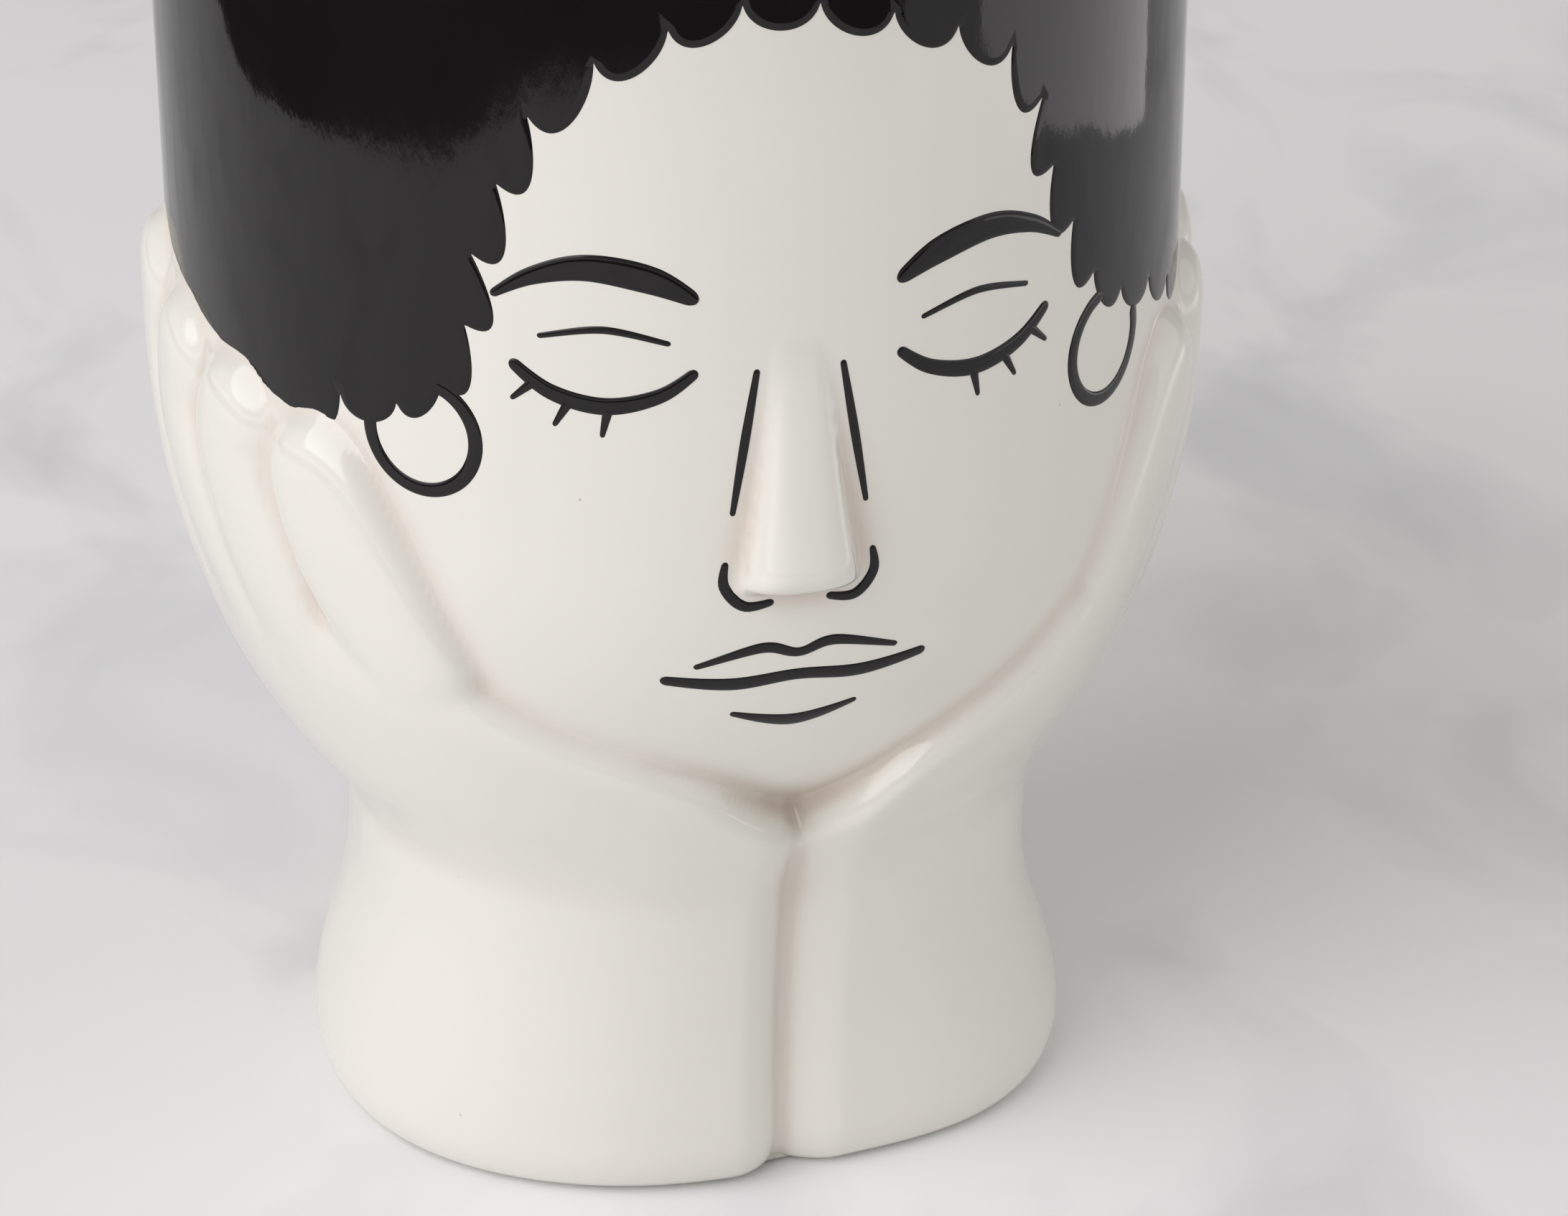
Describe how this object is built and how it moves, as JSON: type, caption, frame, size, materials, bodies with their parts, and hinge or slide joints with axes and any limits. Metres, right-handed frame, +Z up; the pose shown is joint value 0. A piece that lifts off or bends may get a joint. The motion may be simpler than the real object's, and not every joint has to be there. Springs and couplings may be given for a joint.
{
  "type": "planter",
  "caption": "Glazed ceramic planter: a cylindrical head-shaped pot with a drain hole and plug, cradled by two hands whose wrists form the foot.",
  "frame": {"origin": "on the ground, under the middle of the whole box (the pot's axis is a few millimetres behind it, because the nose stands out in front)", "axes": "+Z up along the pot's axis, +X towards the hand on the viewer's right, the face looks along -Y"},
  "size_m": [0.148, 0.1472, 0.2079],
  "materials": {
    "cream_glaze": "gloss",
    "black_glaze": "gloss",
    "plug_rubber": "matte",
    "pad_silicone": "matte"
  },
  "bodies": {
    "pot": {"head_bowl": "cream_glaze", "nose": "cream_glaze", "left_hand": "cream_glaze", "right_hand": "cream_glaze", "foot_pad_1": "pad_silicone", "foot_pad_2": "pad_silicone", "foot_pad_3": "pad_silicone", "foot_pad_4": "pad_silicone"},
    "plug": {"drain_plug": "plug_rubber"}
  },
  "joints": [
    {"name": "plug_lift", "type": "slide", "parent": "pot", "child": "plug", "axis": [0, 0, 1], "range_m": [0, 0.165]}
  ]
}
